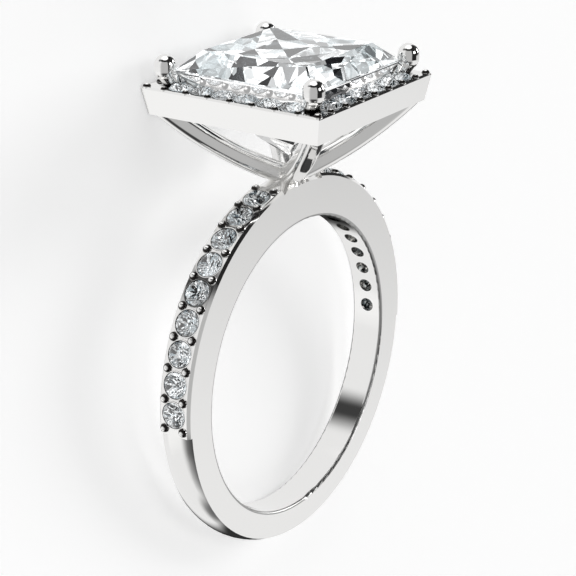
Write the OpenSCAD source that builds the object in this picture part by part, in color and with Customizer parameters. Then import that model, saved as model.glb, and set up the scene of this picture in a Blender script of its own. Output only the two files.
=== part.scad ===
// Halo ring: a white metal shank with stones set along both shoulders, a four-arm basket, a square
// halo of small stones and a large square princess cut stone in four corner prongs.
//
// The ring is built upright first: x runs across the finger hole, y along the finger, z up to the head,
// with the centre of the finger hole at the origin. It is then laid on its side the way it comes to
// rest by itself, on one edge of the halo and on the bottom of the band, so that +Z is up from the
// table, and the finger hole's centre stays at the origin. All sizes are in millimetres.

/* [Shank] */
// Diameter of the finger hole
finger_d = 16.5; // [14:0.1:22]
// Width of the band along the finger
band_w = 1.9; // [1.7:0.05:3]
// Thickness of the band at the top, under the head
band_top = 2.1; // [1.8:0.05:2.8]
// Thickness of the band at the bottom
band_bottom = 1.48; // [1.2:0.05:2.4]
// How much the outside of the band is domed across its width
band_dome = 0.24; // [0.04:0.01:0.4]
// Rounding of the two inner edges of the band
inner_round = 0.16; // [0.05:0.01:0.4]

/* [Shoulder stones] */
// Diameter of a shoulder stone
shank_stone_d = 1.36; // [1.1:0.02:1.5]
// Distance along the band from its top to the first stone
first_step = 2.98; // [2.7:0.02:4]
// Distance along the band between two neighbouring stones
stone_step = 1.6; // [1.55:0.01:2]
// How far the stone-set shoulders stand above the rest of the band
shoulder_rise = 0.25; // [0.05:0.01:0.4]
// Width of the bevel along both edges of the shoulders
bevel_w = 0.14; // [0.06:0.01:0.25]
// Height of that bevel
bevel_h = 0.14; // [0.06:0.01:0.25]
// Diameter of the hole under each stone, open to the finger hole
azure_d = 0.8; // [0.5:0.05:1]
// Diameter of the beads between the shoulder stones
shank_bead_d = 0.5; // [0.3:0.02:0.6]

/* [Halo] */
// Side of the square halo at its top
halo_w = 10.85; // [10:0.05:13]
// Height of the halo's top above the centre of the finger hole
halo_z = 15.81; // [15.4:0.05:18]
// Height of the halo's side walls
halo_h = 1.47; // [1.2:0.05:2]
// How far each side wall leans in from its top to its bottom
halo_lean = 0.27; // [0.1:0.01:0.4]
// Diameter of a halo stone
halo_stone_d = 1.24; // [1:0.02:1.28]
// Height of the halo stones' girdles above the halo's top
halo_stone_up = 0.05; // [-0.02:0.01:0.1]
// Diameter of the beads between the halo stones
halo_bead_d = 0.38; // [0.3:0.02:0.5]
// Width of the bevel on the halo's top edge
rim_bevel = 0.1; // [0.04:0.01:0.15]

/* [Centre stone] */
// Side of the square centre stone
stone_w = 8.4; // [7:0.05:8.5]
// Height of the stone's girdle above the top of the halo
girdle_up = 0.7; // [0.6:0.05:1.2]
// Height of the crown above the girdle
crown_h = 0.96; // [0.6:0.02:1.2]
// Depth of the pavilion below the girdle
pavilion_h = 4.68; // [4:0.02:4.8]
// Side of the table as a share of the stone's side
table_share = 0.74; // [0.6:0.01:0.8]

/* [Prongs and arms] */
// Diameter of a prong at its rounded head
prong_d = 1.14; // [0.8:0.02:1.4]
// Diameter of a prong where it leaves the halo
prong_root_d = 0.86; // [0.7:0.02:1.2]
// Height of a prong's tip above the top of the halo
prong_up = 1.62; // [1.4:0.02:2.4]
// Side of the square section of a basket arm
arm_w = 1.06; // [0.8:0.02:1.3]
// Rounding of the arm's edges
arm_round = 0.38; // [0.05:0.01:0.39]

/* [Output] */
// Which piece to draw, or all of them

/* [Hidden] */
$fn = 64;
quarter = 90;
// Gap between a stone and the metal around it
gap = 0.03;
// How far one solid runs into another to be soldered to it
bite = 0.6;
stones_per_shoulder = 9;
stones_per_side = 6;

bore_r = finger_d / 2;
// The outside is a circle moved up from the finger hole, so the band is thicker at the top.
out_r = bore_r + (band_top + band_bottom) / 2;
out_up = (band_top - band_bottom) / 2;
dome_r = (pow(band_w / 2, 2) + pow(band_dome, 2)) / (2 * band_dome);

shoulder_r = out_r + shoulder_rise;

shank_r = shank_stone_d / 2;
collar_wall = 0.08;
collar_r = shank_r + collar_wall;
// How far stones and beads sit below the top of the metal around them
shank_sink = 0.02;
bead_sink = 0.03;
// The beads stand at half pitch, this far from the middle of the band
bead_margin = 0.13;
bead_y = band_w / 2 - shank_bead_d / 2 - bead_margin;

halo_a = halo_w / 2;
halo_r = halo_stone_d / 2;
stone_a = stone_w / 2;
// Square opening of the halo, under the edge of the centre stone and clear of its pavilion
ledge = 0.28;
halo_in = stone_a - ledge;
// Middle line of the row of halo stones
row = (halo_a + halo_in) / 2;
girdle_z = halo_z + girdle_up;
girdle_t = 0.16;
corner_cut = 0.1;

// Middle of a prong at its head and at the halo, measured along x and along y
prong_r = prong_d / 2;
root_r = prong_root_d / 2;
prong_grip = 0.1;
prong_splay = 0.3;
tip_c = stone_a + prong_r / sqrt(2) - prong_grip;
root_c = tip_c - prong_splay;
// The last halo stone of a side is let into the prong's root by this much
root_notch = 0.1;
row_end = root_c - sqrt(pow(root_r + halo_r - root_notch, 2) - pow(row - root_c, 2));
halo_pitch = 2 * row_end / (stones_per_side - 1);

// Each arm's middle line is an arc in a diagonal plane, hollow side up, through these two points
arm_foot = 0.4;
arm_sink = 0.08;
corner_in = 0.72;
arm_in_halo = 0.36;
arm_low = [arm_foot, bore_r + band_top + arm_w / 2 - arm_sink];
arm_top = [(halo_a - halo_lean) * sqrt(2) - corner_in, halo_z - halo_h + arm_in_halo];
arm_bend = 20;
arm_chord = norm(arm_top - arm_low);
arm_r = arm_chord / (2 * sin(arm_bend / 2));
arm_slope = atan2(arm_top[1] - arm_low[1], arm_top[0] - arm_low[0]);
arm_start = arm_slope - arm_bend / 2;
arm_mid = arm_low + arm_r * [-sin(arm_start), cos(arm_start)];
// The lower end runs on past the middle of the ring, to meet the other arms
arm_more = 2.2;

// Leaning angle of the ring on its side, from the halo's edge to the bottom of the band
lie = atan((halo_a - band_w / 2) / (halo_z + out_r - out_up));

function two(i) = i < 10 ? str("0", i) : str(i);
function halo_name(i) = str("halo_stone_", two(i));
function shank_name(i) = str("shank_stone_", two(i));
function turn(p, a) = [p[0] * cos(a) - p[1] * sin(a), p[0] * sin(a) + p[1] * cos(a), p[2]];

halo_count = 4 * stones_per_side;
shank_count = 2 * stones_per_shoulder;

// Lays the upright ring on its side.
module laid() {
    rotate([0, 0, 180]) rotate([lie - 90, 0, 0]) children();
}

// Place of a shoulder stone, or of anything at an angle from the top: z points out of the band.
module on_band(angle, up = 0) {
    translate([0, 0, out_up]) rotate([0, angle, 0]) translate([0, 0, shoulder_r + up]) children();
}

// Angle from the top to the given step of the row of shoulder stones, moved on by a length.
function step_angle(k, more = 0) = (first_step + stone_step * k + more) / shoulder_r * 180 / PI;

function shoulder_angle(i) =
    (i <= stones_per_shoulder ? -1 : 1) * step_angle((i - 1) % stones_per_shoulder);

// Place of a halo stone: the side it is on and its step along that side.
module on_halo(i) {
    side = floor((i - 1) / stones_per_side);
    step = (i - 1) % stones_per_side - (stones_per_side - 1) / 2;
    rotate([0, 0, quarter * side])
        translate([row, step * halo_pitch, halo_z + halo_stone_up]) children();
}

// A rod from p to q that may taper.
module rod(p, q, r1, r2) {
    d = q - p;
    translate(p) rotate([0, acos(d[2] / norm(d)), atan2(d[1], d[0])])
        cylinder(h = norm(d), r1 = r1, r2 = r2);
}

// A round brilliant with its girdle at z = 0: table, 8 stars, 8 kites, 16 upper halves, 16 girdle
// faces, 16 lower halves and 8 pavilion mains.
facet_turn = 360 / 8;
crown_k = 0.31;
pavilion_k = 0.86;
girdle_k = 0.05;
table_k = 0.57;
star_k = 0.765;
lower_k = 0.26;

module round_stone(r) {
    g = girdle_k * r / 2;
    top = g + crown_k * r;
    low = -g - pavilion_k * r;
    half = facet_turn / 2;
    star_z = top + (star_k * cos(half) - table_k) * (g - top) / (1 - table_k);
    lower_z = low + lower_k * cos(half) * (-g - low);
    points = concat(
        [for (k = [0:7]) turn([table_k * r, 0, top], facet_turn * k)],
        [for (k = [0:7]) turn([star_k * r, 0, star_z], facet_turn * k + half)],
        [for (k = [0:15]) turn([r, 0, g], half * k)],
        [for (k = [0:15]) turn([r, 0, -g], half * k)],
        [for (k = [0:7]) turn([lower_k * r, 0, lower_z], facet_turn * k + half)],
        [[0, 0, low]]);
    T = 0; S = 8; G = 16; H = 32; L = 48; C = 56;
    faces = concat(
        [[for (k = [7:-1:0]) T + k]],
        [for (k = [0:7]) [T + k, T + (k + 1) % 8, S + k]],
        [for (k = [0:7]) [T + k, S + k, G + 2 * k, S + (k + 7) % 8]],
        [for (k = [0:7]) [S + k, G + 2 * k + 1, G + 2 * k]],
        [for (k = [0:7]) [S + k, G + (2 * k + 2) % 16, G + 2 * k + 1]],
        [for (k = [0:15]) [G + k, G + (k + 1) % 16, H + (k + 1) % 16, H + k]],
        [for (k = [0:7]) [H + 2 * k, H + 2 * k + 1, L + k]],
        [for (k = [0:7]) [H + 2 * k + 1, H + (2 * k + 2) % 16, L + k]],
        [for (k = [0:7]) [H + 2 * k, L + k, C, L + (k + 7) % 8]]);
    polyhedron(points, faces);
}

// The room cut in the metal for a round stone, a gap larger than the stone, with an open top and a
// round hole below.
module round_seat(r, hole_r, hole_depth) {
    g = girdle_k * r / 2 + gap;
    w = r + gap;
    top = crown_k * r + 2 * gap;
    mouth_r = table_k * r + 3 * gap;
    neck_z = -g - (w - hole_r) * pavilion_k;
    rotate_extrude() polygon([
        [0, -hole_depth], [hole_r, -hole_depth], [hole_r, neck_z], [w, -g], [w, g],
        [mouth_r, top], [mouth_r, top + bite], [0, top + bite]]);
}

// The princess cut stone with its girdle at z = 0. Each side has a star, crown halves and a girdle
// face above, and a fan of chevron facets down to the point below.
module princess(a) {
    s = a / stone_a;
    h = a * table_share;
    c = corner_cut * s;
    g = girdle_t * s / 2;
    ch = crown_h * s;
    ph = pavilion_h * s;
    ring = function(p) [for (k = [0:3]) turn(p, quarter * k)];
    points = concat(
        ring([h, h, g + ch]),
        ring([h + 0.5 * (a - h), 0, g + 0.66 * ch]),
        ring([a, a - c, g]),
        ring([a - c, a, g]),
        ring([a, a - c, -g]),
        ring([a - c, a, -g]),
        ring([0.82 * a, 0, -g - 0.28 * ph]),
        ring([0.5 * a, 0, -g - 0.66 * ph]),
        ring([0.53 * a, 0.53 * a, -g - 0.5 * ph]),
        ring([0.24 * a, 0.24 * a, -g - 0.8 * ph]),
        [[0, 0, -g - ph]]);
    T = 0; S = 4; A = 8; B = 12; E = 16; F = 20; P = 24; Q = 28; D = 32; R = 36; C = 40;
    faces = concat([[3, 2, 1, 0]], [for (k = [0:3]) let (j = (k + 3) % 4) each [
        [T + j, T + k, S + k],
        [T + k, A + k, S + k],
        [T + j, S + k, B + j],
        [S + k, A + k, B + j],
        [T + k, B + k, A + k],
        [B + j, A + k, E + k, F + j],
        [A + k, B + k, F + k, E + k],
        [F + j, E + k, P + k],
        [E + k, Q + k, P + k],
        [F + j, P + k, Q + k],
        [E + k, D + k, Q + k],
        [F + j, Q + k, D + j],
        [D + k, R + k, Q + k],
        [D + j, Q + k, R + j],
        [R + k, C, Q + k],
        [R + j, Q + k, C],
        [E + k, F + k, D + k]]]);
    polyhedron(points, faces);
}

// Outline of the domed band, from the axis out.
// Radius that both outlines start from, well inside the finger hole, which is cut out later
blank_r = bore_r - 2;

module domed_outline() {
    intersection() {
        translate([blank_r, -band_w / 2]) square([out_r + band_dome - blank_r, band_w]);
        translate([out_r + band_dome - dome_r, 0]) circle(r = dome_r);
    }
}

// Outline of the band under the shoulder stones: flat on top, with a bevel along both edges.
module bevelled_outline() {
    half = band_w / 2;
    polygon([
        [blank_r, -half], [shoulder_r - bevel_h, -half], [shoulder_r, bevel_w - half],
        [shoulder_r, half - bevel_w], [shoulder_r - bevel_h, half], [blank_r, half]]);
}

// The band: bevelled along both shoulders, domed at the top under the head and at the bottom.
zone_margin = 0.34;
zone_start = step_angle(-0.5, -zone_margin);
zone_end = step_angle(stones_per_shoulder - 0.5, zone_margin);
// The domed parts run on this many degrees into the bevelled ones.
seam = 0.3;

module band() {
    domed_top = zone_start + seam;
    domed_low = zone_end - seam;
    translate([0, 0, out_up]) rotate([quarter, 0, 0]) {
        for (start = [quarter + zone_start, quarter - zone_end])
            rotate_extrude(angle = zone_end - zone_start, start = start) bevelled_outline();
        rotate_extrude(angle = 2 * domed_top, start = quarter - domed_top) domed_outline();
        rotate_extrude(angle = 360 - 2 * domed_low, start = quarter + domed_low) domed_outline();
    }
}

// The finger hole with its softened edges.
module finger_hole() {
    rotate([quarter, 0, 0]) rotate_extrude() {
        translate([0, -band_w / 2 - bite]) square([bore_r, band_w + 2 * bite]);
        for (s = [-1, 1]) mirror([0, s < 0 ? 1 : 0]) difference() {
            translate([bore_r - bite, band_w / 2 - inner_round])
                square([bite + inner_round, inner_round + bite]);
            translate([bore_r + inner_round, band_w / 2 - inner_round]) circle(r = inner_round);
        }
    }
}

// A short collar of metal around each shoulder stone, and the beads between neighbours.
module shoulder_work() {
    for (i = [1:shank_count]) on_band(shoulder_angle(i), -bite) cylinder(h = bite, r = collar_r);
    for (s = [-1, 1], k = [0:stones_per_shoulder], y = [-1, 1])
        on_band(s * step_angle(k - 0.5), -bead_sink)
            translate([0, y * bead_y, 0]) sphere(d = shank_bead_d);
}

// One basket arm with rounded edges, from the top of the band to a corner of the halo.
module arm() {
    rotate([0, 0, quarter / 2]) translate([arm_mid[0], 0, arm_mid[1]]) rotate([quarter, 0, 0])
        rotate_extrude(angle = arm_bend + arm_more, start = arm_start - arm_more - quarter) {
            translate([arm_r - arm_w / 2 + arm_round, -arm_w / 2])
                square([arm_w - 2 * arm_round, arm_w]);
            translate([arm_r - arm_w / 2, -arm_w / 2 + arm_round])
                square([arm_w, arm_w - 2 * arm_round]);
            for (x = [-1, 1], y = [-1, 1])
                translate([arm_r + x * (arm_w / 2 - arm_round), y * (arm_w / 2 - arm_round)])
                    circle(r = arm_round);
        }
}

// A square frustum standing on z = 0.
module frustum(half_low, half_top, h) {
    polyhedron(
        [for (z = [0, 1], k = [0:3])
            turn([z == 0 ? half_low : half_top, z == 0 ? half_low : half_top, z * h], quarter * k)],
        [[0, 1, 2, 3], [7, 6, 5, 4], [4, 5, 1, 0], [5, 6, 2, 1], [6, 7, 3, 2], [7, 4, 0, 3]]);
}

// The halo frame: leaning walls with a narrow bevel on the top edge, and a square opening.
module halo_frame() {
    edge = halo_a - halo_lean * rim_bevel / halo_h;
    difference() {
        translate([0, 0, halo_z - halo_h]) union() {
            frustum(halo_a - halo_lean, edge, halo_h - rim_bevel);
            translate([0, 0, halo_h - rim_bevel]) frustum(edge, edge - rim_bevel, rim_bevel);
        }
        translate([0, 0, halo_z - halo_h / 2])
            cube([2 * halo_in, 2 * halo_in, halo_h + 2 * bite], center = true);
    }
}

// The beads of the halo: between the stones on both sides of the row, and one at each corner.
out_margin = 0.03;
in_margin = 0.04;
corner_bead_k = 1.15;

module halo_beads() {
    out = halo_a - halo_bead_d / 2 - out_margin;
    in = halo_in + halo_bead_d / 2 + in_margin;
    corner = halo_a - halo_bead_d * corner_bead_k / 2 - out_margin;
    z = halo_z - bead_sink;
    for (a = [0:3]) rotate([0, 0, quarter * a]) {
        for (k = [-2:2]) translate([in, k * halo_pitch, z]) sphere(d = halo_bead_d);
        for (k = [-3:3]) translate([out, k * halo_pitch, z]) sphere(d = halo_bead_d);
        translate([corner, corner, z]) sphere(d = halo_bead_d * corner_bead_k);
    }
}

// A prong: a root that leans outward from the halo, then an upright head that is round at both ends.
neck_share = 0.5;
neck_k = 0.94;
root_depth = 0.7;
root_lean = 0.16;
knee_up = 0.05;

module prong() {
    neck_z = halo_z + prong_up * neck_share;
    head_z = halo_z + prong_up - prong_r;
    foot = [root_c - root_lean, root_c - root_lean, halo_z - root_depth];
    knee = [root_c, root_c, halo_z + knee_up];
    rod(foot, knee, root_r, root_r);
    translate(knee) sphere(r = root_r);
    rod(knee, [tip_c, tip_c, neck_z], root_r, prong_r * neck_k);
    translate([tip_c, tip_c, neck_z]) rotate_extrude() intersection() {
        union() {
            circle(r = prong_r);
            translate([-prong_r, 0]) square([2 * prong_r, head_z - neck_z]);
            translate([0, head_z - neck_z]) circle(r = prong_r);
        }
        translate([0, -prong_r]) square([prong_r, head_z - neck_z + 2 * prong_r]);
    }
}

// All the metal, soldered into one piece.
module setting() {
    color([0.9, 0.89, 0.87]) laid() difference() {
        union() {
            band();
            shoulder_work();
            for (k = [0:3]) rotate([0, 0, quarter * k]) {
                arm();
                prong();
            }
            halo_frame();
            halo_beads();
        }
        finger_hole();
        for (i = [1:shank_count]) on_band(shoulder_angle(i), -shank_sink)
            round_seat(shank_r, azure_d / 2, band_top + shoulder_rise + bite);
        for (i = [1:halo_count]) on_halo(i)
            round_seat(halo_r, halo_r / 2, halo_h + halo_stone_up + bite);
        translate([0, 0, girdle_z]) princess(stone_a + gap);
    }
}

module centre_stone() {
    color([0.86, 0.9, 0.93]) laid() translate([0, 0, girdle_z]) princess(stone_a);
}

module halo_stone(i) {
    color([0.86, 0.9, 0.93]) laid() on_halo(i) round_stone(halo_r);
}

module shank_stone(i) {
    color([0.86, 0.9, 0.93]) laid() on_band(shoulder_angle(i), -shank_sink) round_stone(shank_r);
}

setting();
centre_stone();
for (i = [1:halo_count]) halo_stone(i);
for (i = [1:shank_count]) shank_stone(i);
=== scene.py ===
"""Looks of a halo ring: polished white metal, a square princess cut stone and forty-two round ones.

The ring lies on its side on a plain pale floor in soft studio light. Lengths are in metres, in the frame of
the solid model: +Z is up from the floor, and the head of the ring points towards -Y.
"""

import math

import bpy
from bpy.props import FloatProperty, FloatVectorProperty, PointerProperty
from mathutils import Matrix, Vector


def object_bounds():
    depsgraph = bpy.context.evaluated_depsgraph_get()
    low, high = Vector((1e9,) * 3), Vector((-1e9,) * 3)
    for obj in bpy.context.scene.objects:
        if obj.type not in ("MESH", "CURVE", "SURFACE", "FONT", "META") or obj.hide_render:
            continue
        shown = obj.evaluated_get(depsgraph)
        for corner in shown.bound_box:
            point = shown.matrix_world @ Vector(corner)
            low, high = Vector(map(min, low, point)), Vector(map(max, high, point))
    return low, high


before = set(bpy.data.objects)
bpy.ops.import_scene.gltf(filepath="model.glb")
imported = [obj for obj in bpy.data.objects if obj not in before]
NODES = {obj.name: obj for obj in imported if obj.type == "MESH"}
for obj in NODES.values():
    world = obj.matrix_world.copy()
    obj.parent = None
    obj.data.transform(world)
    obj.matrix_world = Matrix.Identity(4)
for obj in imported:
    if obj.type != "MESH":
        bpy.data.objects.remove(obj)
CAD_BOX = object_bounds()

bl_info = {
    "name": "Halo Ring Dresser",
    "version": (1, 0, 0),
    "blender": (4, 5, 0),
    "location": "3D View > Sidebar > Halo Ring",
    "description": "Gives the solids of a halo ring their finish and sets the stage around them",
    "category": "Material",
}

MM = 0.001
WHITE = (1.0, 1.0, 1.0, 1.0)
BLACK = (0.0, 0.0, 0.0, 1.0)

# The studio is laid out about the ring's head: this way the head points, and these ways are the camera's
# side of it and the right of the picture.
HEAD_AXIS = Vector((0.0, -0.98499, 0.17259))
FRONT_AXIS = Vector((0.83006, 0.09626, 0.54934))
SIDE_AXIS = HEAD_AXIS.cross(FRONT_AXIS)

# The finger hole runs this way, and the outside of the band is round about this point.
FINGER_AXIS = Vector((0.0, -0.17259, -0.98499))
BAND_CENTRE = 0.31 * MM * HEAD_AXIS
# Where the four arms meet on top of the band
ARM_JOINT = 11.2 * MM * HEAD_AXIS
# Out to the first of these distances from the joint no shade is painted in the crevices or on the bead feet,
# and past the second the painted shade is full.
JOINT_SHADE_FADE = (2.0 * MM, 2.5 * MM)
# Out to the first of these distances from the joint the metal is satin, and past the second it is polished.
JOINT_SATIN = (1.0 * MM, 2.8 * MM)

# How high the plate around the beads and the beads themselves stand, over the halo's top and over the
# shoulders' outside
HALO_BEAD = (0.005 * MM, 0.16 * MM)
SHOULDER_BEAD = (0.035 * MM, 0.22 * MM)
# The painted shade on the foot of a bead sets in over this height, and gives way to the shiny top between
# these shares of the bead's height.
FOOT_START = 0.015 * MM
FOOT_END = (0.78, 0.9)

# The middle of the finger hole, where the rounding of its edges starts and ends outside its radius, and how
# far from the middle of the band the edges are
FINGER_CENTRE = (0.0, 0.0, 0.0)
EDGE_REACH = (0.006 * MM, 0.15 * MM)
EDGE_FROM_MIDDLE = 0.8 * MM
WORN_ROUGHNESS = 0.3
WORN_COLOUR = (0.42, 0.42, 0.415, 1.0)

# Fine buffing marks in the polish, in waves per metre, and how deep they are
BUFFING_SCALE = 900.0
BUFFING_DETAIL = 4.0
BUFFING_STRENGTH = 0.12
BUFFING_DEPTH = 0.004 * MM
# Haze on the polish, in waves per metre. Between these levels of its noise the metal goes from its
# cleanest to this many times as rough.
HAZE_SCALE = 260.0
HAZE_DETAIL = 2.0
HAZE_LEVELS = (0.35, 0.7)
HAZE_FACTOR = 2.0
# The share of open air around a point at which painted shade in a crevice begins, and at which it is darkest
CREVICE_OPENNESS = (0.72, 0.44)
CREVICE_SAMPLES = 6

# How far below the middle of its girdle a stone's pavilion starts, and how far each way the frost goes
GIRDLE_HALF = 0.03 * MM
FROST_HALF = 0.027 * MM
# Frost on the girdle, in waves per metre, the levels of its noise, and the roughness at each
FROST_SCALE = 700.0
FROST_DETAIL = 3.0
FROST_LEVELS = (0.4, 0.7)
FROST_ROUGHNESS = (0.25, 0.45)
# A random colour leans a shard one way or the other as it is above or below this one.
MIDDLE_COLOUR = (0.5, 0.5, 0.5)
# Facets whose directions differ by less than this count as one.
FACET_STEP = 0.02
# Width of the shards of painted light and shade in a stone, and how far each leans
CENTRE_SHARD = 3.2 * MM
CENTRE_LEAN = 0.12
SMALL_SHARD = 0.34 * MM
SMALL_LEAN = 0.2
# Painted light and shade of the shards, the mirror colour and the glow of the facets below the girdle: where
# each starts between 0 and 1, and its colour
CENTRE_PAINTED_SHADES = (
    (0.0, (0.01, 0.01, 0.012)),
    (0.17, (0.045, 0.048, 0.052)),
    (0.28, (0.50, 0.53, 0.54)),
    (0.4, (1.0, 1.0, 1.0)),
)
SMALL_PAINTED_SHADES = (
    (0.0, (0.004, 0.005, 0.006)),
    (0.38, (0.18, 0.21, 0.23)),
    (0.52, (0.60, 0.66, 0.69)),
    (0.64, (1.0, 1.0, 1.0)),
)

# Patches of the studio, each painted over the ones before: (azimuth, height), half width and softness of
# the edge, each across and up in degrees, and brightness
SKY_PATCHES = (
    ((-78.0, -27.0), (20.0, 6.0), (15.0, 10.0), 0.98),
    ((115.0, -8.0), (20.0, 6.0), (15.0, 14.0), 0.66),
    ((0.0, 10.0), (30.0, 52.0), (24.0, 8.0), 0.5),
    ((0.0, -55.0), (20.0, 20.0), (40.0, 8.0), 0.05),
    ((180.0, -50.0), (7.0, 27.0), (22.0, 10.0), 0.03),
    ((0.0, -90.0), (180.0, 8.0), (1.0, 14.0), 0.15),
    ((0.0, 90.0), (180.0, 26.0), (3.0, 3.0), 1.3),
    ((25.0, 53.0), (85.0, 9.0), (10.0, 3.0), 0.02),
    ((157.0, -52.0), (14.0, 16.0), (8.0, 8.0), 0.05),
    ((-78.0, 44.0), (7.0, 2.0), (16.0, 13.0), 0.05),
    ((92.0, 51.0), (56.0, 11.0), (3.0, 3.0), 0.02),
    ((62.0, 12.0), (23.0, 29.0), (9.0, 4.0), 0.02),
    ((118.0, 16.0), (31.0, 21.0), (5.0, 5.0), 0.03),
    ((66.0, 17.0), (11.0, 9.0), (2.0, 2.0), 3.0),
    ((118.0, 11.0), (11.0, 10.0), (3.0, 3.0), 6.0),
)

# The floor lies this far below the ring, so that the two don't flicker through each other.
FLOOR_GAP = 0.002 * MM
FLOOR_ROUGHNESS = 0.9
FLOOR_SHEEN = 0.2
# The camera sees from the first of these distances to the second.
CAMERA_RANGE = (0.001, 10.0)
# How often light may turn on its way, in all, through glass and off mirrors
ALL_BOUNCES = 24
GLASS_BOUNCES = 20
MIRROR_BOUNCES = 8


class HaloRingMetal(bpy.types.PropertyGroup):
    """Finish of the polished white metal."""

    colour: FloatVectorProperty(
        name="Metal Colour",
        description="Colour of the polished metal",
        subtype="COLOR",
        size=4,
        min=0.0,
        max=1.0,
        default=(0.905, 0.90, 0.89, 1.0),
    )
    roughness: FloatProperty(
        name="Polish Roughness",
        description="Roughness of the mirror polish at its cleanest",
        default=0.035,
        min=0.0,
        max=0.5,
        subtype="FACTOR",
    )
    joint_roughness: FloatProperty(
        name="Joint Roughness",
        description="Roughness where the feet of the arms meet",
        default=0.26,
        min=0.0,
        max=0.5,
        subtype="FACTOR",
    )
    # Painted shade: the colour that the metal is darkened to in its crevices and around the feet of its
    # beads
    crevice_shade_colour: FloatVectorProperty(
        name="Crevice Shade Colour",
        description="Colour of the metal in the crevices that the polishing wheel doesn't reach",
        subtype="COLOR",
        size=4,
        min=0.0,
        max=1.0,
        default=(0.03, 0.028, 0.026, 1.0),
    )
    # Reach of the occlusion test that paints shade into the crevices
    crevice_reach: FloatProperty(
        name="Crevice Reach",
        description="How wide an opening still counts as a crevice",
        default=0.26 * MM,
        unit="LENGTH",
    )
    halo_top: FloatProperty(
        name="Halo Top",
        description="Height of the halo's top above the middle of the finger hole",
        default=15.81 * MM,
        unit="LENGTH",
    )
    finger_radius: FloatProperty(
        name="Finger Radius",
        description="Radius of the finger hole",
        default=8.25 * MM,
        unit="LENGTH",
    )
    shoulder_radius: FloatProperty(
        name="Shoulder Radius",
        description="Distance of the shoulders' outside from the middle of the band's outside",
        default=10.29 * MM,
        unit="LENGTH",
    )


class HaloRingStone(bpy.types.PropertyGroup):
    """Finish of the clear stones."""

    colour: FloatVectorProperty(
        name="Stone Colour",
        description="Body colour of the stones",
        subtype="COLOR",
        size=4,
        min=0.0,
        max=1.0,
        default=(0.95, 0.985, 1.0, 1.0),
    )
    ior: FloatProperty(
        name="Index of Refraction",
        description="How strongly the stones bend light",
        default=2.417,
        min=1.3,
        max=3.0,
    )
    # Painted light: the strength of the glow of the facets below the girdle, in their painted shades
    painted_glow: FloatProperty(
        name="Painted Glow",
        description="How much of the light that the stones gather comes back out of them",
        default=0.36,
        min=0.0,
    )
    centre_girdle: FloatProperty(
        name="Centre Girdle",
        description="Height of the centre stone's girdle above the middle of the finger hole",
        default=16.51 * MM,
        unit="LENGTH",
    )
    halo_girdle: FloatProperty(
        name="Halo Girdles",
        description="Height of the halo stones' girdles above the middle of the finger hole",
        default=15.86 * MM,
        unit="LENGTH",
    )
    shank_girdle: FloatProperty(
        name="Shoulder Girdles",
        description="Distance of the shoulder stones' girdles from the middle of the band's outside",
        default=10.27 * MM,
        unit="LENGTH",
    )


class HaloRingStage(bpy.types.PropertyGroup):
    """Floor, lights and camera."""

    floor_colour: FloatVectorProperty(
        name="Floor Colour",
        description="Colour of the plain floor",
        subtype="COLOR",
        size=4,
        min=0.0,
        max=1.0,
        default=(0.80, 0.80, 0.80, 1.0),
    )
    floor_glow: FloatProperty(
        name="Floor Glow",
        description="Light that comes up through the floor, which keeps its shadows faint",
        default=0.485,
        min=0.0,
    )
    surroundings: FloatProperty(
        name="Surroundings",
        description="Brightness of the plain walls of the studio",
        default=0.88,
        min=0.0,
    )
    floor_half_width: FloatProperty(
        name="Floor Half Width",
        description="Half the width of the square floor",
        default=1.2,
        unit="LENGTH",
    )
    camera_place: FloatVectorProperty(
        name="Camera Place",
        description="Where the camera stands",
        subtype="TRANSLATION",
        unit="LENGTH",
        size=3,
        default=(74.552 * MM, -29.735 * MM, 56.044 * MM),
    )
    camera_aim: FloatVectorProperty(
        name="Camera Aim",
        description="The direction that the camera looks in",
        subtype="DIRECTION",
        size=3,
        default=(-0.77439, 0.26512, -0.57449),
    )
    camera_up: FloatVectorProperty(
        name="Camera Up",
        description="The direction that is up in the picture",
        subtype="DIRECTION",
        size=3,
        default=(-0.29846, -0.95367, -0.0378),
    )
    camera_fov: FloatProperty(
        name="Field of View",
        description="Angle that the camera takes in",
        subtype="ANGLE",
        default=math.radians(18.31),
    )


def node_chain(tree):
    """A short way to add a shader node and set its input values."""

    def add(kind, inputs=None, **settings):
        node = tree.nodes.new(kind)
        for name, value in settings.items():
            setattr(node, name, value)
        for name, value in (inputs or {}).items():
            if isinstance(value, bpy.types.NodeSocket):
                tree.links.new(value, node.inputs[name])
            else:
                node.inputs[name].default_value = value
        return node

    return add


def new_material(name):
    """An empty material and the way to add nodes to it."""
    material = bpy.data.materials.new(name)
    material.use_nodes = True
    material.node_tree.nodes.clear()
    return material, node_chain(material.node_tree)


def calc(add, operation, *values):
    """One step of arithmetic on numbers."""
    return add("ShaderNodeMath", dict(enumerate(values)), operation=operation).outputs[0]


def vector_calc(add, operation, *vectors):
    """One step of arithmetic on vectors that gives a vector."""
    return add("ShaderNodeVectorMath", dict(enumerate(vectors)), operation=operation).outputs["Vector"]


def vector_measure(add, operation, *vectors):
    """One step of arithmetic on vectors that gives a number."""
    return add("ShaderNodeVectorMath", dict(enumerate(vectors)), operation=operation).outputs["Value"]


def scaled(add, vector, factor):
    """A vector made longer or shorter by a factor."""
    return add("ShaderNodeVectorMath", {0: vector, "Scale": factor}, operation="SCALE").outputs["Vector"]


def spread(add, value, start, end, low=0.0, high=1.0, easing="LINEAR"):
    """Turns a value between start and end into one between low and high, and holds it beyond them."""
    limits = {"From Min": start, "From Max": end, "To Min": low, "To Max": high}
    node = add("ShaderNodeMapRange", {"Value": value, **limits}, interpolation_type=easing)
    return node.outputs["Result"]


def mix_values(add, factor, first, second):
    """The first number where the factor is 0, and the second where it is 1."""
    return add("ShaderNodeMix", {0: factor, 2: first, 3: second}, data_type="FLOAT").outputs[0]


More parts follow.
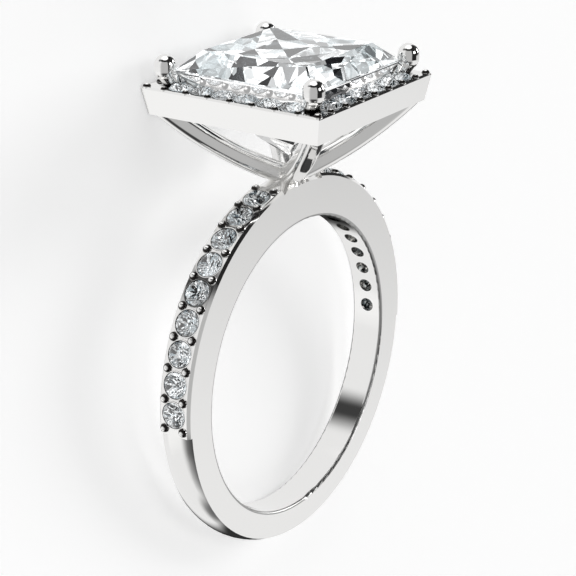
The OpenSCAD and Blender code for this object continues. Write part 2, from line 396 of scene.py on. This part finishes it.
def mix_colours(add, factor, first, second):
    """The first colour where the factor is 0, and the second where it is 1."""
    return add("ShaderNodeMix", {0: factor, 6: first, 7: second}, data_type="RGBA").outputs[2]


def noise(add, place, scale, detail):
    """Soft noise of the given number of waves per metre."""
    return add("ShaderNodeTexNoise", {"Vector": place, "Scale": scale, "Detail": detail}).outputs["Fac"]


def over_head(add, place, base):
    """How far a point stands above the given height, the way the ring's head points."""
    return calc(add, "SUBTRACT", vector_measure(add, "DOT_PRODUCT", place, HEAD_AXIS), base)


def over_finger(add, place, centre):
    """How far a point stands from the line along the finger through the given centre."""
    arm = vector_calc(add, "SUBTRACT", place, centre)
    return vector_measure(add, "LENGTH", vector_calc(add, "CROSS_PRODUCT", arm, FINGER_AXIS))


def over_band(add, place, base):
    """How far a point stands outside the given radius around the band."""
    return calc(add, "SUBTRACT", over_finger(add, place, BAND_CENTRE), base)


def bead_foot_shade(add, height, plate_height, bead_height):
    """Mask of painted shade: 1 around the foot of a bead, from the plate it stands on up to its shiny top,
    and 0 elsewhere.
    """
    rise = spread(add, height, plate_height, plate_height + FOOT_START)
    fall = spread(add, height, FOOT_END[0] * bead_height, FOOT_END[1] * bead_height, 1.0, 0.0)
    return calc(add, "MULTIPLY", rise, fall)


def inner_edge(add, place, radius):
    """1 on the rounding of the finger hole's two edges, where wear dulls the polish, and 0 elsewhere."""
    reach = over_finger(add, place, FINGER_CENTRE)
    along = calc(add, "ABSOLUTE", vector_measure(add, "DOT_PRODUCT", place, FINGER_AXIS))
    outside = calc(add, "GREATER_THAN", reach, radius + EDGE_REACH[0])
    inside = calc(add, "LESS_THAN", reach, radius + EDGE_REACH[1])
    near = calc(add, "GREATER_THAN", along, EDGE_FROM_MIDDLE)
    return calc(add, "MULTIPLY", calc(add, "MULTIPLY", outside, inside), near)


def painted_shade_places(add, place, settings):
    """Where shade is painted on the metal: 1 in the crevices and around the feet of the beads, and 0
    elsewhere.
    """
    reach = {"Distance": settings.crevice_reach}
    open_air = add("ShaderNodeAmbientOcclusion", reach, samples=CREVICE_SAMPLES).outputs["AO"]
    crevice = spread(add, open_air, *CREVICE_OPENNESS, easing="SMOOTHSTEP")
    halo_feet = bead_foot_shade(add, over_head(add, place, settings.halo_top), *HALO_BEAD)
    shoulder_feet = bead_foot_shade(add, over_band(add, place, settings.shoulder_radius), *SHOULDER_BEAD)
    feet = calc(add, "MAXIMUM", halo_feet, shoulder_feet)
    # No shade is painted close to the joint of the arms.
    away = spread(add, vector_measure(add, "DISTANCE", place, ARM_JOINT), *JOINT_SHADE_FADE)
    return calc(add, "MULTIPLY", calc(add, "MAXIMUM", crevice, feet), away)


def polish(add, place, settings):
    """Roughness of the metal: a hazy mirror polish, and satin where the feet of the arms meet."""
    haze = noise(add, place, HAZE_SCALE, HAZE_DETAIL)
    mirror = spread(add, haze, *HAZE_LEVELS, settings.roughness, settings.roughness * HAZE_FACTOR)
    distance = vector_measure(add, "DISTANCE", place, ARM_JOINT)
    satin = spread(
        add, distance, *JOINT_SATIN, settings.joint_roughness, settings.roughness, easing="SMOOTHSTEP"
    )
    return calc(add, "MAXIMUM", mirror, satin)


def polished_metal(settings):
    """White gold with a mirror polish, fine buffing marks, painted shade in its crevices and around its bead
    feet, and worn inner edges.
    """
    material, add = new_material("polished_white_gold")
    place = add("ShaderNodeTexCoord").outputs["Object"]
    worn = inner_edge(add, place, settings.finger_radius)
    # Painted shade in the crevices and around the bead feet darkens the metal's colour.
    painted_shade = painted_shade_places(add, place, settings)
    colour = mix_colours(add, painted_shade, settings.colour, settings.crevice_shade_colour)
    marks = noise(add, place, BUFFING_SCALE, BUFFING_DETAIL)
    bump = add("ShaderNodeBump", {"Height": marks, "Strength": BUFFING_STRENGTH, "Distance": BUFFING_DEPTH})
    shader = add(
        "ShaderNodeBsdfPrincipled",
        {
            "Base Color": mix_colours(add, worn, colour, WORN_COLOUR),
            "Metallic": 1.0,
            "Roughness": mix_values(add, worn, polish(add, place, settings), WORN_ROUGHNESS),
            "Normal": bump.outputs["Normal"],
        },
    )
    add("ShaderNodeOutputMaterial", {"Surface": shader.outputs["BSDF"]})
    return material


def painted_shard_shades(add, value, shades):
    """Turns an even random value into flat painted shades of light and dark, each from its start up to the
    next one's.
    """
    ramp = add("ShaderNodeValToRGB", {"Fac": value})
    ramp.color_ramp.interpolation = "CONSTANT"
    elements = ramp.color_ramp.elements
    for index, (start, painted_light) in enumerate(shades):
        element = elements[index] if index < len(elements) else elements.new(start)
        element.position = start
        element.color = (*painted_light, 1.0)
    return ramp.outputs["Color"]


def shard_pick(add, place, facet, shard_size):
    """A random colour and number for each shard of each facet of each stone."""
    facing = vector_calc(add, "SNAP", vector_calc(add, "ABSOLUTE", facet), (FACET_STEP,) * 3)
    cells = {"Vector": place, "Scale": 1.0 / shard_size}
    shards = add("ShaderNodeTexVoronoi", cells, distance="MANHATTAN")
    seed = vector_calc(add, "ADD", facing, shards.outputs["Color"])
    stone = add("ShaderNodeObjectInfo").outputs["Random"]
    return add("ShaderNodeTexWhiteNoise", {"Vector": seed, "W": stone}, noise_dimensions="4D")


def frost(add, place, height):
    """Roughness of a stone: frosted on the girdle, and smooth elsewhere."""
    on_girdle = calc(add, "LESS_THAN", calc(add, "ABSOLUTE", height), FROST_HALF)
    rough = spread(add, noise(add, place, FROST_SCALE, FROST_DETAIL), *FROST_LEVELS, *FROST_ROUGHNESS)
    return calc(add, "MULTIPLY", rough, on_girdle)


def cut_stone(name, settings, above, girdle, shard_size, lean, shades):
    """Clear stone: a glassy crown, a frosted girdle, and facets below it that are mirrors in painted shades
    and glow in them.
    """
    material, add = new_material(name)
    place = add("ShaderNodeTexCoord").outputs["Object"]
    facet = add("ShaderNodeNewGeometry").outputs["Normal"]
    height = above(add, place, girdle)
    below = calc(add, "LESS_THAN", height, -GIRDLE_HALF)
    pick = shard_pick(add, place, facet, shard_size)
    # Painted light and shade for each shard
    painted_light = painted_shard_shades(add, pick.outputs["Value"], shades)
    tilt = vector_calc(add, "SUBTRACT", pick.outputs["Color"], MIDDLE_COLOUR)
    tilt = scaled(add, tilt, calc(add, "MULTIPLY", below, lean))
    # Below the girdle the facets are mirrors coloured in the painted shades, and they glow in them with
    # painted light.
    shader = add(
        "ShaderNodeBsdfPrincipled",
        {
            "Base Color": mix_colours(add, below, settings.colour, painted_light),
            "Metallic": below,
            "Roughness": frost(add, place, height),
            "IOR": settings.ior,
            "Transmission Weight": 1.0,
            "Normal": vector_calc(add, "NORMALIZE", vector_calc(add, "ADD", facet, tilt)),
            "Emission Color": mix_colours(add, below, BLACK, painted_light),
            "Emission Strength": settings.painted_glow,
        },
    )
    add("ShaderNodeOutputMaterial", {"Surface": shader.outputs["BSDF"]})
    return material


def dress(node_name, material):
    """Puts one material on a solid."""
    piece = NODES[node_name]
    piece.data.materials.clear()
    piece.data.materials.append(material)


class HALORING_OT_dress_setting(bpy.types.Operator):
    """Gives the metal of the ring its mirror polish"""

    bl_idname = "halo_ring.dress_setting"
    bl_label = "Dress Setting"

    def execute(self, context):
        dress("setting", polished_metal(context.scene.halo_ring_metal))
        return {"FINISHED"}


class HALORING_OT_dress_centre_stone(bpy.types.Operator):
    """Gives the princess cut centre stone its clear faceted finish"""

    bl_idname = "halo_ring.dress_centre_stone"
    bl_label = "Dress Centre Stone"

    def execute(self, context):
        settings = context.scene.halo_ring_stone
        girdle = settings.centre_girdle
        material = cut_stone(
            "centre_stone_crystal", settings, over_head, girdle, CENTRE_SHARD, CENTRE_LEAN, CENTRE_PAINTED_SHADES
        )
        dress("centre_stone", material)
        return {"FINISHED"}


class HALORING_OT_dress_small_stones(bpy.types.Operator):
    """Gives the round stones of the halo and the shoulders their clear faceted finish"""

    bl_idname = "halo_ring.dress_small_stones"
    bl_label = "Dress Small Stones"

    def execute(self, context):
        settings = context.scene.halo_ring_stone
        kinds = {
            "halo_stone_": (over_head, settings.halo_girdle),
            "shank_stone_": (over_band, settings.shank_girdle),
        }
        for prefix, (above, girdle) in kinds.items():
            names = [name for name in NODES if name.startswith(prefix)]
            if not names:
                raise RuntimeError(f"the model has no {prefix}NN")
            material = cut_stone(
                prefix + "crystal", settings, above, girdle, SMALL_SHARD, SMALL_LEAN, SMALL_PAINTED_SHADES
            )
            for name in names:
                dress(name, material)
        return {"FINISHED"}


def pale_floor(settings):
    """Plain matt floor that glows a little."""
    material, add = new_material("pale_floor")
    shader = add(
        "ShaderNodeBsdfPrincipled",
        {
            "Base Color": settings.floor_colour,
            "Roughness": FLOOR_ROUGHNESS,
            "Specular IOR Level": FLOOR_SHEEN,
            "Emission Color": WHITE,
            "Emission Strength": settings.floor_glow,
        },
    )
    add("ShaderNodeOutputMaterial", {"Surface": shader.outputs["BSDF"]})
    return material


def make_floor(settings):
    """Lays a square floor just below the ring."""
    half = settings.floor_half_width
    height = CAD_BOX[0][2] - FLOOR_GAP
    corners = [(x * half, y * half, height) for x, y in ((-1, -1), (1, -1), (1, 1), (-1, 1))]
    mesh = bpy.data.meshes.new("floor")
    mesh.from_pydata(corners, [], [(0, 1, 2, 3)])
    mesh.materials.append(pale_floor(settings))
    floor = bpy.data.objects.new("floor", mesh)
    bpy.context.scene.collection.objects.link(floor)
    # The metal mirrors the studio's own lower half in place of the floor.
    floor.visible_glossy = False


def box_mask(add, azimuth, height, centre, half_width, soft):
    """1 inside a patch of the studio and 0 outside it. Its sizes are (azimuth, height) in degrees."""
    masks = []
    for angle, middle, half, edge_width in zip((azimuth, height), centre, half_width, soft):
        off = calc(add, "SUBTRACT", angle, math.radians(middle))
        away = calc(add, "ABSOLUTE", calc(add, "WRAP", off, math.pi, -math.pi))
        outer, inner = math.radians(half + edge_width), math.radians(half)
        masks.append(spread(add, away, outer, inner, easing="SMOOTHSTEP"))
    return calc(add, "MULTIPLY", *masks)


def make_world(settings):
    """White surroundings with dark gaps between the light panels, turned to face the ring's head."""
    world = bpy.data.worlds.new("studio")
    world.use_nodes = True
    world.node_tree.nodes.clear()
    add = node_chain(world.node_tree)
    place = add("ShaderNodeTexCoord").outputs["Generated"]
    up, side, front = (
        vector_measure(add, "DOT_PRODUCT", place, axis) for axis in (HEAD_AXIS, SIDE_AXIS, FRONT_AXIS)
    )
    height = calc(add, "ARCSINE", up)
    azimuth = calc(add, "ARCTAN2", side, front)
    level = settings.surroundings
    for centre, half_width, soft, brightness in SKY_PATCHES:
        mask = box_mask(add, azimuth, height, centre, half_width, soft)
        level = mix_values(add, mask, level, brightness)
    light = add("ShaderNodeBackground", {"Color": WHITE, "Strength": level})
    add("ShaderNodeOutputWorld", {"Surface": light.outputs["Background"]})
    bpy.context.scene.world = world


def make_camera(settings):
    """Sets up the camera at its place, with its aim, its up and its angle."""
    camera = bpy.data.objects.new("camera", bpy.data.cameras.new("camera"))
    back = -Vector(settings.camera_aim).normalized()
    up = Vector(settings.camera_up)
    up = (up - back * up.dot(back)).normalized()
    right = up.cross(back)
    turn = Matrix((right, up, back)).transposed().to_4x4()
    camera.matrix_world = Matrix.Translation(settings.camera_place) @ turn
    camera.data.lens_unit = "FOV"
    camera.data.angle = settings.camera_fov
    camera.data.clip_start, camera.data.clip_end = CAMERA_RANGE
    bpy.context.scene.collection.objects.link(camera)
    bpy.context.scene.camera = camera


class HALORING_OT_set_stage(bpy.types.Operator):
    """Lays the pale floor, hangs the lights and sets up the camera"""

    bl_idname = "halo_ring.set_stage"
    bl_label = "Set Stage"

    def execute(self, context):
        settings = context.scene.halo_ring_stage
        make_floor(settings)
        make_world(settings)
        make_camera(settings)
        scene = context.scene
        scene.view_settings.view_transform = "Standard"
        scene.cycles.max_bounces = ALL_BOUNCES
        scene.cycles.transmission_bounces = GLASS_BOUNCES
        scene.cycles.glossy_bounces = MIRROR_BOUNCES
        scene.cycles.use_denoising = True
        return {"FINISHED"}


OPERATORS = (
    HALORING_OT_dress_setting,
    HALORING_OT_dress_centre_stone,
    HALORING_OT_dress_small_stones,
    HALORING_OT_set_stage,
)


class HALORING_PT_dresser(bpy.types.Panel):
    """Lists the steps and settings of the halo ring's looks"""

    bl_idname = "HALORING_PT_dresser"
    bl_label = "Halo Ring"
    bl_space_type = "VIEW_3D"
    bl_region_type = "UI"
    bl_category = "Halo Ring"

    def draw(self, context):
        for operator in OPERATORS:
            self.layout.operator(operator.bl_idname)
        for group_name, group in GROUPS.items():
            box = self.layout.box()
            for setting in group.__annotations__:
                box.prop(getattr(context.scene, group_name), setting)


GROUPS = {
    "halo_ring_metal": HaloRingMetal,
    "halo_ring_stone": HaloRingStone,
    "halo_ring_stage": HaloRingStage,
}
CLASSES = (*GROUPS.values(), *OPERATORS, HALORING_PT_dresser)


def register():
    """Adds the settings, the steps and the panel to Blender."""
    for cls in CLASSES:
        bpy.utils.register_class(cls)
    for name, group in GROUPS.items():
        setattr(bpy.types.Scene, name, PointerProperty(type=group))


def unregister():
    """Takes them out again."""
    for name in GROUPS:
        delattr(bpy.types.Scene, name)
    for cls in reversed(CLASSES):
        bpy.utils.unregister_class(cls)


def main():
    """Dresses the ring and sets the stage."""
    register()
    bpy.ops.halo_ring.dress_setting()
    bpy.ops.halo_ring.dress_centre_stone()
    bpy.ops.halo_ring.dress_small_stones()
    bpy.ops.halo_ring.set_stage()


if __name__ == "__main__":
    main()
